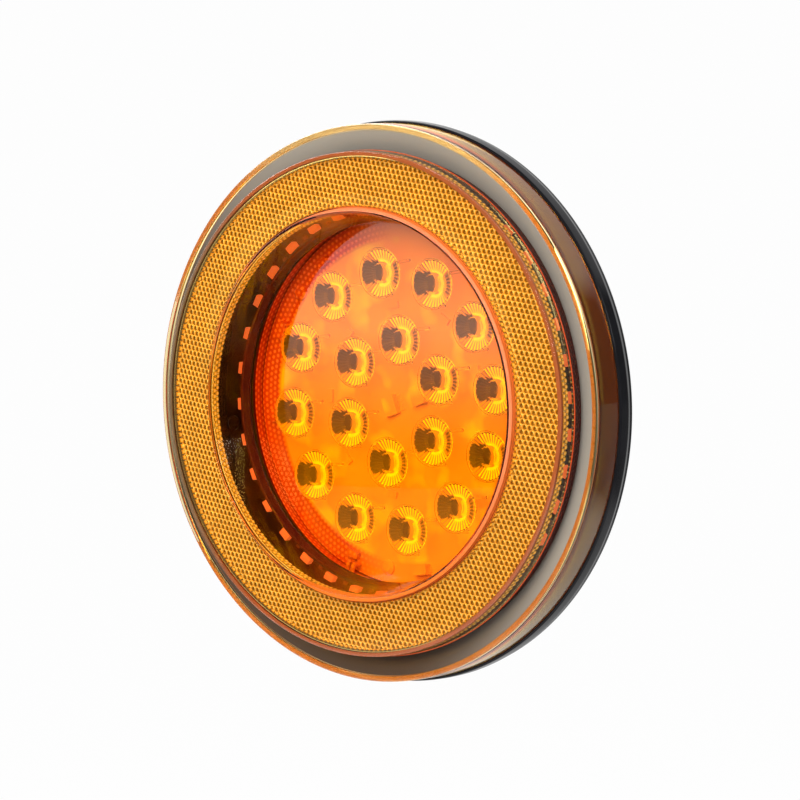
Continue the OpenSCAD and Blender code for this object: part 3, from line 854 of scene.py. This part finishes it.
# Where the bowl's painted tones change: radii in mm, and angles from the right in degrees.
HOLLOW_FLANK_R, HOLLOW_R, BRIM_R, STRIPES_R, EDGE_R = 2.05, 2.7, 2.9, 3.4, 4.2
RIGHT_TURN, FLANK_TURN = 38, 118
FLUTE_STEPS = 4  # points along one flute

# The bowl's rings, the radius where it starts to rise and how steeply, and its depth under the collimator's face.
BOWL_RADII = (1.0, 1.6, 2.1, 2.6, 2.75, 3.0, 3.3, 3.8, 4.3, 4.7, 5.1, 5.5, 5.9)
BOWL_FLAT_R, BOWL_SLOPE, BOWL_DEPTH = 3.0, 0.58, 2.5

# The collimator's feet: how many, how far from its middle, and their radius.
FEET, FEET_R, FOOT_R = 3, 6.0, 0.4


class LAMP_OT_optics(Step):
    """Make the fluted collimators with the bowls of painted light inside them, and the signal lamps under them"""

    bl_idname = "lamp.optics"
    bl_label = "Collimators and signal lamps"

    def make(self):
        _, _, optics, colours = settings()
        glass = clear("optic_clear", colours.optic, OPTIC_DEPTH, ripple=0.0)
        face = moulded("lamp_package", RESIN_YELLOW, rough=(0.25, 0.35))
        lining = self.lining(colours)
        group = circle_group()
        optic, cup, lamp = self.collimator(optics), self.cup(optics), self.lamp()
        circles = (("outer", optics.outer_count, optics.outer_r, optics.outer_turn),
                   ("inner", optics.inner_count, optics.inner_r, optics.inner_turn))
        for circle, count, radius, turn in circles:
            node = circle + "_collimators"
            for name, shape, height, material, slot, stands_for in (
                    ("optics_", optic, MAIN_TOP_Z + GAP, glass, "clear_optic", node),
                    ("optic_cups_", cup, MAIN_TOP_Z + GAP, lining, "white_board", node),
                    ("signal_lamps_", lamp, MAIN_TOP_Z, face, "lamp_package", "signal_leds")):
                piece = grown(name + circle, group, {
                    "Shape": shape, "Height": height, "Material": material, "Count": count, "Radius": radius,
                    "Turn": turn, "Upright": 1.0})
                stand_for(piece, slot, stands_for)

    def collimator(self, optics):
        """A solid fluted cone with a well in its face and three feet."""
        height = OPTIC_TOP_Z - MAIN_TOP_Z - GAP
        edge = optics.optic_r
        cone = [(3.15, 0.75), (4.1, 2.3), (5.1, 3.85), (edge - 0.4, height - 0.6)]
        outline = [(0, 0.72), (SOCKET_R, 0.72)] + cone + [
            (edge - 0.05, height - 0.5), (edge, height - 0.42), (edge, height - 0.08), (edge - 0.08, height),
            (WELL_R, height), (WELL_R - 0.08, height - 0.08), (2.2, height - 1.3), (1.6, height - 1.5),
            (0, height - 1.55)]
        bm = bmesh.new()
        fluted(bm, outline, optics.flutes, 0.08, range(2, 2 + len(cone)))
        for i in range(FEET):
            a = 2 * math.pi * i / FEET + 0.5
            x, y = FEET_R * math.cos(a), FEET_R * math.sin(a)
            turn_outline(bm, [(0, 0), (FOOT_R, 0), (FOOT_R, height - 0.55), (0, height - 0.55)], 12,
                         lambda p: (p[0] + x, p[1] + y, p[2]))
        return pattern_mesh("collimator", bm, sharp=25)

    def cup(self, optics):
        """A shallow fluted bowl inside the cone that carries painted shade and highlights; its tone attribute says how
        bright each part is painted.
        """
        height = OPTIC_TOP_Z - MAIN_TOP_Z - GAP
        floor = height - BOWL_DEPTH
        inner = [(0, floor)] + [(r, floor + max(0, (r - BOWL_FLAT_R) * BOWL_SLOPE)) for r in BOWL_RADII]
        outer = [(5.95, height - 0.95), (BOWL_FLAT_R, floor - 0.15), (0, floor - 0.15)]
        bm = bmesh.new()
        tone = bm.verts.layers.float.new("tone")
        rings = fluted(bm, inner + outer, optics.flutes, 0.07, range(6, len(inner)))
        steps = optics.flutes * FLUTE_STEPS
        for k, ring in enumerate(rings):
            for i, v in enumerate(ring):
                angle = 2 * math.pi * i / steps
                v[tone] = self.shine(math.hypot(v.co.x, v.co.y), angle, i // 2) if k < len(inner) else 0.5
        return pattern_mesh("optic_cup", bm, sharp=40)

    def shine(self, r, angle, flute):
        """Painted tone of the bowl: painted shadow at the left, striped painted highlights above and below, painted
        shade at the right.

        Radii are in mm and away is in degrees from the right; a tone goes from 0, dark, to 1, shining."""
        away = abs((math.degrees(angle) + 180) % 360 - 180)
        x, y = r * math.cos(angle), r * math.sin(angle)
        stripe = flute % 2
        jag = 0.35 * math.sin(flute * 2.4) + 0.2 * math.sin(flute * 5.1)
        if abs((x - PATCH_X) / PATCH_WIDE) ** 3 + abs(y / PATCH_TALL) ** 3 < 1 + 0.6 * jag:
            return PATCH_TONE
        if r < HOLLOW_R:
            return 0.86 if r > HOLLOW_FLANK_R and away < 60 else 0.47
        if r < BRIM_R:
            return 0.95 if away < 105 else 0.3
        if away < RIGHT_TURN + 12 * jag:
            return (0.05 if stripe else 0.3) if r > EDGE_R else 0.5 + 0.3 * stripe
        if away < FLANK_TURN + 14 * jag:
            return 1.0 - 0.5 * stripe * (r > STRIPES_R)
        return 0.62 - 0.3 * stripe

    def lining(self, colours):
        """Painted shade to orange to painted yellow highlight along the tone attribute, with a painted glow on the
        brightest parts.
        """
        material, nodes, out = new_material("cup_lining")
        tone = nodes.add("ShaderNodeAttribute", attribute_name="tone").outputs["Fac"]
        ramp = nodes.add("ShaderNodeValToRGB", {"Fac": tone})
        stops = ramp.color_ramp.elements
        stops[0].position, stops[0].color = 0.05, rgba(colours.bowl_shade)
        stops[1].position, stops[1].color = 1.0, rgba(colours.bowl_highlight)
        stops.new(0.45).color = rgba(colours.board)
        stops.new(0.75).color = rgba(colours.bowl_amber)
        return surfaced(material, nodes, out, {
            "Base Color": ramp.outputs[0], "Roughness": 0.35, "Emission Color": rgba(colours.bowl_glow),
            "Emission Strength": nodes.spread(tone, 0.6, 1.0, 0.0, BOWL_PAINTED_GLOW),
            "Normal": bumped(nodes, grain(nodes, 2500.0), 0.1)}, lets_light_by=True)

    def lamp(self):
        """A square package with a round resin dome."""
        bm = bmesh.new()
        block(bm, 0, PACKAGE, 0.12)
        angles = (math.radians(a) for a in range(10, 90, 10))
        dome = [(DOME_R * math.cos(a), DOME_Z + DOME_R * math.sin(a)) for a in angles]
        turn_outline(bm, [(0, 0.6), (DOME_R, 0.6)] + dome + [(0, DOME_Z + DOME_R)], 32)
        return pattern_mesh("signal_lamp", bm)


def fluted(bm, outline, flutes, depth, waved):
    """Turns an outline with flutes on the rings that waved lists."""
    def wave(ring, r, z, a):
        return r + (depth * math.cos(flutes * a) if ring in waved else 0), z

    return turn_outline(bm, outline, flutes * FLUTE_STEPS, shape=wave)


# Painted pools of light on the main board's mask: their scale per metre and the noise between which they come up;
# the radii of the board's edge band, which carries painted shadow and painted reflections of the pins at the left.
POOL_SCALE, POOL_EDGE, BOARD_EDGE = 110.0, (0.52, 0.66), (0.0400, 0.0412)


class LAMP_OT_main_board(Step):
    """Make the main board, and dress the small parts on it, the ring board's screws and the seal"""

    bl_idname = "lamp.main_board"
    bl_label = "Main board"

    def make(self):
        colours = settings()[3]
        edge = half_width("main_board")
        outline = rounded([(0, MAIN_BACK_Z, 0), (edge, MAIN_BACK_Z, 0.1), (edge, MAIN_TOP_Z, 0.1), (0, MAIN_TOP_Z, 0)])
        mask = self.mask(colours)
        stand_for(turned("board_white", outline, mask, steps=160), "white_board", "main_board")
        for node in ("driver_chips", "main_resistors", "main_capacitors", "main_diodes", "main_board_screws",
                     "link_leads"):
            dress(node, mask)
        dress("ring_board_screws", shared("dark_mask"))
        dress("lens_seal", shared("soft_rubber"))

    def mask(self, colours):
        """Solder mask with painted pools of light, and an edge with painted shadow and painted reflections of the pins
        at the left.
        """
        material, nodes, out = new_material("white_mask")
        place = nodes.place()
        pools = nodes.add("ShaderNodeTexNoise", {"Vector": place, "Scale": POOL_SCALE, "Detail": 1.5})
        lift = nodes.spread(pools.outputs[0], *POOL_EDGE)
        middle = nodes.blend(lift, rgba(colours.board), rgba(colours.board_glow))
        axes = nodes.axes(place)
        radius = nodes.length(axes[0], axes[2])
        rim = nodes.spread(radius, *BOARD_EDGE)
        return surfaced(material, nodes, out, {
            "Base Color": nodes.blend(rim, middle, painted_crescent(nodes, radius, axes, radius, colours)), "Roughness": 0.35,
            "Normal": bumped(nodes, grain(nodes, 1500.0), 0.15)})


# Painted reflections of the pins: metres between their rows, how many stand in one round, the radii as shares of a
# cell between which one fades, and where they and the painted shadow give way to the plain board, as the cosine of
# the angle from the right.
REFLECTION_DOT_GAP, REFLECTION_DOTS_AROUND, REFLECTION_DOT_EDGE = 0.0013, 190, (0.16, 0.38)
CRESCENT_LEFT = (-0.45, -0.1)


def painted_crescent(nodes, across, axes, radius, colours):
    """Painted shadow in red-orange with rows of painted reflections of the pins at the left, and the board's own colour
    elsewhere.
    """
    angle = nodes.math("ARCTAN2", axes[2], axes[0])
    row = nodes.math("DIVIDE", across, REFLECTION_DOT_GAP)
    stagger = nodes.math("MULTIPLY", nodes.math("FLOOR", row), 0.5)
    column = nodes.math("MULTIPLY_ADD", angle, REFLECTION_DOTS_AROUND / (2 * math.pi), stagger)
    u = nodes.math("SUBTRACT", nodes.math("FRACT", row), 0.5)
    v = nodes.math("SUBTRACT", nodes.math("FRACT", column), 0.5)
    spot = nodes.spread(nodes.length(u, v), *REFLECTION_DOT_EDGE, 1.0, 0.0)
    dotted = nodes.blend(spot, rgba(colours.edge_painted_shade), rgba(colours.pin_reflection_dot))
    side = nodes.spread(nodes.math("DIVIDE", axes[0], radius), *CRESCENT_LEFT)
    return nodes.blend(side, dotted, rgba(colours.board))


def dress(node, material):
    """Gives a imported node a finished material."""
    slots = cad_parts[node].data.materials
    slots.clear()
    slots.append(material)


class LAMP_OT_ring_board(Step):
    """Make the dark ring board with its lamps and small parts, and the light shield inside it"""

    bl_idname = "lamp.ring_board"
    bl_label = "Ring board"

    def make(self):
        _, _, optics, colours = settings()
        outer, inner = half_width("ring_board"), BOARD_HOLE_R
        outline = rounded([(inner, RING_BACK_Z, 0.1), (outer, RING_BACK_Z, 0.1), (outer, RING_TOP_Z, 0.1),
                           (inner, RING_TOP_Z, 0.1)])
        stand_for(turned("board_dark", outline, shared("dark_mask")), "dark_board", "ring_board")
        group = circle_group()
        bm = bmesh.new()
        block(bm, -0.3, RING_LAMP, 0.15)
        # The small lamps are not lit: their glow is painted light that brightens them in the dark chamber.
        resin = moulded("lamp_resin", colours.lamp, rough=(0.3, 0.4), bump=0.05, glow=RESIN_PAINTED_GLOW)
        lamps = grown("ring_lamps", group, {
            "Shape": pattern_mesh("ring_lamp", bm), "Count": optics.ring_count, "Radius": optics.ring_r,
            "Turn": optics.ring_turn, "Height": RING_TOP_Z, "Material": resin})
        stand_for(lamps, "lamp_package", "ring_leds")
        bm = bmesh.new()
        block(bm, 0, RING_CHIP, 0.05)
        marks = grown("ring_chips", group, {
            "Shape": pattern_mesh("ring_chip", bm), "Count": optics.ring_count, "Radius": optics.ring_r - 1,
            "Turn": optics.ring_turn + 180 / optics.ring_count, "Height": RING_TOP_Z,
            "Material": moulded("chip_tin", colours.chip, rough=(0.3, 0.5))})
        stand_for(marks, "ceramic_tan", "ring_resistors")
        top, foot = heights("light_shield")
        seam = top - SEAM_DROP
        for name, material, outline in (
                ("shield_wall", shared("matte_black"), [
                    (SHIELD_IN_R, foot, 0), (SHIELD_OUT_R, foot, 0), (SHIELD_OUT_R, top - 0.6, 0),
                    (FLANGE_OUT_R, top - 0.6, 0.1), (FLANGE_OUT_R, top, 0.15), (FLANGE_IN_R, top, 0.1),
                    (FLANGE_IN_R, top - 0.3, 0.1), (SHIELD_IN_R, top - 0.3, 0)]),
                ("shield_collar", shared("collar_maroon"), [
                    (COLLAR_IN_R, seam + 0.03, 0), (COLLAR_OUT_R, seam + 0.03, 0), (COLLAR_OUT_R, top - 0.32, 0.05),
                    (COLLAR_IN_R, top - 0.32, 0.1)]),
                # This lining is a sheet that carries painted shadow and painted reflections of the pins.
                ("shield_lining", self.dotted(colours), [
                    (COLLAR_IN_R, foot, 0), (COLLAR_OUT_R, foot, 0), (COLLAR_OUT_R, seam, 0), (COLLAR_IN_R, seam, 0)])):
            stand_for(turned(name, rounded(outline), material), "black_matte", "light_shield")

    def dotted(self, colours):
        """A sheet with painted shadow in orange-red and rows of painted reflections of the pins at the left, and the
        board's own colour elsewhere.
        """
        material, nodes, out = new_material("dotted_orange")
        axes = nodes.axes(nodes.place())
        radius = nodes.length(axes[0], axes[2])
        return surfaced(material, nodes, out, {
            "Base Color": painted_crescent(nodes, axes[1], axes, radius, colours), "Roughness": 0.35,
            "Normal": bumped(nodes, grain(nodes, 1500.0), 0.1)})


class LAMP_OT_tub(Step):
    """Make the polished black tub with its rim, and dress what is fixed in its back"""

    bl_idname = "lamp.tub"
    bl_label = "Tub, gasket and fixings"

    def make(self):
        sizes = settings()[0]
        back = heights("mounting_gasket")[0] + GAP
        floor = back + TUB_FLOOR
        joint = sizes.joint_z - GAP
        rim_z, seat_z = sizes.rim_back_z, sizes.seat_z - 0.35
        outline = rounded([
            (0, back, 0), (64.2, back, 0.5), (65.4, back + 0.8, 0.5), (68, rim_z, 0.3), (TUB_R - 0.5, rim_z, 0.3),
            (TUB_R - 0.45, 7.1, 0.15), (TUB_R, 8.3, 0.25), (TUB_R, joint - 0.35, 0.12), (TUB_R - 0.35, joint, 0.12),
            (SKIRT_R - 1.0, joint, 0), (SKIRT_R - 1.0, seat_z, 0.1), (68.2, seat_z, 0.1), (68.0, 15.4, 0),
            (66.2, 15.2, 0.2), (66.2, 7.4, 0.3), (64.4, floor + 0.4, 0.3), (POST_OUT_R, floor + 0.4, 0.2),
            (POST_OUT_R, POST_TOP_Z, 0.2), (POST_IN_R, POST_TOP_Z, 0.2), (POST_IN_R, floor, 0.2), (0, floor, 0)])
        tub = turned("tub_black", outline, shared("tub_black"))
        tub.data.materials.append(moulded("tongue_brown", TONGUE, rough=(0.3, 0.4), vary=0.05, specular=0.1))
        for face in tub.data.polygons:
            spot = face.center
            if -spot.y / MM > sizes.joint_z and math.hypot(spot.x, spot.z) / MM > SKIRT_R - 1.5:
                face.material_index = 1
        stand_for(tub, "black_gloss", "rear_housing")
        for node, finish in (("mounting_gasket", "soft_rubber"), ("cable_grommet", "soft_rubber"),
                             ("vent_plug", "matte_black"), ("mounting_studs", "zinc_plate")):
            dress(node, shared(finish))


# ---------------------------------------------------------------- stage


# The camera's place and turn, in degrees and mm about the lamp's axis at the rim's height; the floor, in metres.
AZIMUTH = 38.93
ELEVATION = 4.62
ROLL = 0.40
DISTANCE = 1970.0
SHIFT = (-6.24, -0.81)
LENS_MM = 353.8
SENSOR_MM = 36.0
RIM_Z = 20.4
FLOOR_Z = -0.3
FLOOR_HALF = 12.0
WHITE = (1, 1, 1, 1)

# Distances in metres over which the floor that glass and polished faces show fades all round, comes up again to the
# back, and fades to the right.
NEAR_FADE, BACK_RISE, RIGHT_FADE = (0.6, 0.8), (0.3, 1.0), (0.1, 0.7)

# What glass and polished faces show of the world: the way to each pale part, and the cosines between which it comes up.
SWEEP_WAY, SWEEP_EDGE = (-0.628, 0.778, 0), (0.38, 0.55)
CEILING_WAY, CEILING_EDGE = (0, 0.6, 0.8), (0.8, 0.87)
DARK_SIDE = 0.1

# Soft lamps: name, place and size in metres, power in watts, and whether polished faces show it.
SOFTBOXES = (("key", (0.35, -1.9, 0.9), (1.2, 1.2), 36.0, False),
             ("side", (1.15, -0.75, 0.9), (0.16, 1.0), 3.5, True),
             ("over", (-0.69, 0.35, 0.78), (1.0, 1.0), 11.0, True))

# The low glowing panel: place and half its width in metres, its height as a share of its width, the heights in
# metres between which its light comes up, how strong the light is, and how sharply it comes up.
PANEL_PLACE, PANEL_HALF, PANEL_SQUASH, PANEL_FADE = (-0.754, -0.932, -0.045), 0.2, 0.725, (-0.125, 0.025)
PANEL_LIGHT, PANEL_POWER = 1.8, 2.2


class LAMP_OT_stage(Step):
    """Make the floor, the soft lights, the world and the camera"""

    bl_idname = "lamp.stage"
    bl_label = "Stage"

    def make(self):
        scene = bpy.context.scene
        scene.view_settings.view_transform = "Standard"
        scene.cycles.glossy_bounces = 10
        scene.cycles.max_bounces = 16
        self.view(scene)
        self.floor()
        self.world(scene)
        self.panel("low_panel")
        for softbox in SOFTBOXES:
            self.softbox(*softbox)

    def view(self, scene):
        az, el, roll = (math.radians(a) for a in (AZIMUTH, ELEVATION, ROLL))
        back = Vector((math.sin(az) * math.cos(el), math.sin(el), math.cos(az) * math.cos(el)))
        right = Vector((math.cos(az), 0, -math.sin(az)))
        up = back.cross(right)
        right, up = (right * math.cos(roll) + up * math.sin(roll), up * math.cos(roll) - right * math.sin(roll))
        place = Vector((0, 0, RIM_Z)) + back * DISTANCE - right * SHIFT[0] - up * SHIFT[1]
        axes = [to_row(v) / MM for v in (right, up, back)]
        matrix = Matrix([[axes[c][r] for c in range(3)] for r in range(3)]).to_4x4()
        matrix.translation = to_row(place)
        data = bpy.data.cameras.new("camera")
        data.lens = LENS_MM
        data.sensor_width = SENSOR_MM
        data.clip_end = 100.0
        camera = bpy.data.objects.new("camera", data)
        camera.matrix_world = matrix
        scene.collection.objects.link(camera)
        scene.camera = camera

    def seen(self, nodes):
        """1 for rays straight from the camera, and 1 for those that polished faces or glass have turned."""
        light = nodes.add("ShaderNodeLightPath").outputs
        return light["Is Camera Ray"], nodes.math("MAXIMUM", light["Is Glossy Ray"], light["Is Transmission Ray"])

    def floor(self):
        bm = bmesh.new()
        bmesh.ops.create_grid(bm, x_segments=1, y_segments=1, size=FLOOR_HALF)
        mesh = bpy.data.meshes.new("floor")
        bm.to_mesh(mesh)
        bm.free()
        mesh.transform(Matrix.Translation((0, 0, FLOOR_Z)))
        material, nodes, out = new_material("floor_white")
        camera, bounced = self.seen(nodes)
        place = nodes.place()
        axes = nodes.axes(place)
        near = nodes.spread(nodes.vector("LENGTH", place), *NEAR_FADE, 1.0, 0.1)
        back = nodes.spread(axes[1], *BACK_RISE)
        right = nodes.spread(axes[0], *RIGHT_FADE, 1.0, 0.3)
        lit = nodes.math("MAXIMUM", near, nodes.math("MULTIPLY", back, right))
        matt = nodes.add("ShaderNodeBsdfDiffuse", {"Color": (0.9, 0.9, 0.9, 1)})
        glow = nodes.add("ShaderNodeEmission", {"Color": WHITE, "Strength": nodes.math("MAXIMUM", camera, lit)})
        share = nodes.math("MULTIPLY", nodes.math("MAXIMUM", camera, bounced), 0.97)
        mix = nodes.add("ShaderNodeMixShader", {0: share, 1: matt.outputs[0], 2: glow.outputs[0]})
        nodes.join(mix.outputs[0], out["Surface"])
        put("floor", mesh, material)

    def world(self, scene):
        """White to the eye; glass and polished faces show it pale behind and above, and dark beside."""
        world = bpy.data.worlds.new("studio")
        world.use_nodes = True
        world.node_tree.nodes.clear()
        nodes = Nodes(world.node_tree)
        camera, bounced = self.seen(nodes)
        way = nodes.add("ShaderNodeTexCoord").outputs["Generated"]
        behind = nodes.vector("DOT_PRODUCT", way, SWEEP_WAY)
        sweep = nodes.spread(behind, *SWEEP_EDGE, DARK_SIDE, 1.0)
        over = nodes.vector("DOT_PRODUCT", way, CEILING_WAY)
        ceiling = nodes.spread(over, *CEILING_EDGE, DARK_SIDE, 1.0)
        shine = nodes.math("MAXIMUM", sweep, ceiling)
        soft = nodes.math("MULTIPLY_ADD", bounced, nodes.math("SUBTRACT", shine, 0.5), 0.5)
        glow = nodes.add("ShaderNodeBackground", {"Color": WHITE, "Strength": nodes.math("MAXIMUM", camera, soft)})
        nodes.join(glow.outputs[0], nodes.add("ShaderNodeOutputWorld").inputs["Surface"])
        scene.world = world

    def panel(self, name):
        """A soft glowing panel whose light fades downwards; it looks at the part's middle."""
        bm = bmesh.new()
        bmesh.ops.create_grid(bm, x_segments=1, y_segments=1, size=PANEL_HALF)
        bmesh.ops.scale(bm, vec=(1, PANEL_SQUASH, 1), verts=bm.verts)
        mesh = bpy.data.meshes.new(name)
        bm.to_mesh(mesh)
        bm.free()
        material, nodes, out = new_material(name + "_glow")
        fade = nodes.spread(nodes.axes(nodes.place())[1], *PANEL_FADE)
        soft = nodes.math("MULTIPLY", nodes.math("POWER", fade, PANEL_POWER), PANEL_LIGHT)
        glow = nodes.add("ShaderNodeEmission", {"Color": WHITE, "Strength": soft})
        nodes.join(glow.outputs[0], out["Surface"])
        panel = put(name, mesh, material)
        panel.location = PANEL_PLACE
        panel.rotation_euler = Vector(PANEL_PLACE).to_track_quat("Z", "Y").to_euler()
        panel.visible_camera = False
        panel.visible_shadow = False

    def softbox(self, name, place, size, power, mirrored):
        """A rectangular lamp that looks at the part's middle, and may be kept out of reflections."""
        data = bpy.data.lights.new(name, "AREA")
        data.shape = "RECTANGLE"
        data.size, data.size_y = size
        data.energy = power
        lamp = bpy.data.objects.new(name, data)
        lamp.location = place
        lamp.visible_glossy = mirrored
        lamp.rotation_euler = (-Vector(place)).to_track_quat("-Z", "Y").to_euler()
        bpy.context.scene.collection.objects.link(lamp)


OPERATORS = (LAMP_OT_stage, LAMP_OT_tub, LAMP_OT_ring_board, LAMP_OT_main_board, LAMP_OT_optics, LAMP_OT_reflex,
             LAMP_OT_front_lens, LAMP_OT_skirt)


class LAMP_PT_panel(bpy.types.Panel):
    """Lists the lamp's steps in the sidebar"""

    bl_label = "Round trailer lamp"
    bl_idname = "LAMP_PT_panel"
    bl_space_type = "VIEW_3D"
    bl_region_type = "UI"
    bl_category = "Lamp"

    def draw(self, context):
        for step in OPERATORS:
            self.layout.operator(step.bl_idname)
        for name, group in GROUPS.items():
            box = self.layout.box()
            for item in group.__annotations__:
                box.prop(getattr(context.scene, name), item)


GROUPS = {"lamp_sizes": LampSizes, "lamp_reflex": ReflexSizes, "lamp_optics": OpticSizes, "lamp_colours": LampColours}


def register():
    for cls in (*GROUPS.values(), *OPERATORS, LAMP_PT_panel):
        bpy.utils.register_class(cls)
    for name, group in GROUPS.items():
        setattr(bpy.types.Scene, name, PointerProperty(type=group))


def unregister():
    for name in GROUPS:
        delattr(bpy.types.Scene, name)
    for cls in reversed((*GROUPS.values(), *OPERATORS, LAMP_PT_panel)):
        bpy.utils.unregister_class(cls)


def main():
    register()
    for step in OPERATORS:
        group, name = step.bl_idname.split(".")
        getattr(getattr(bpy.ops, group), name)()


if __name__ == "__main__":
    main()
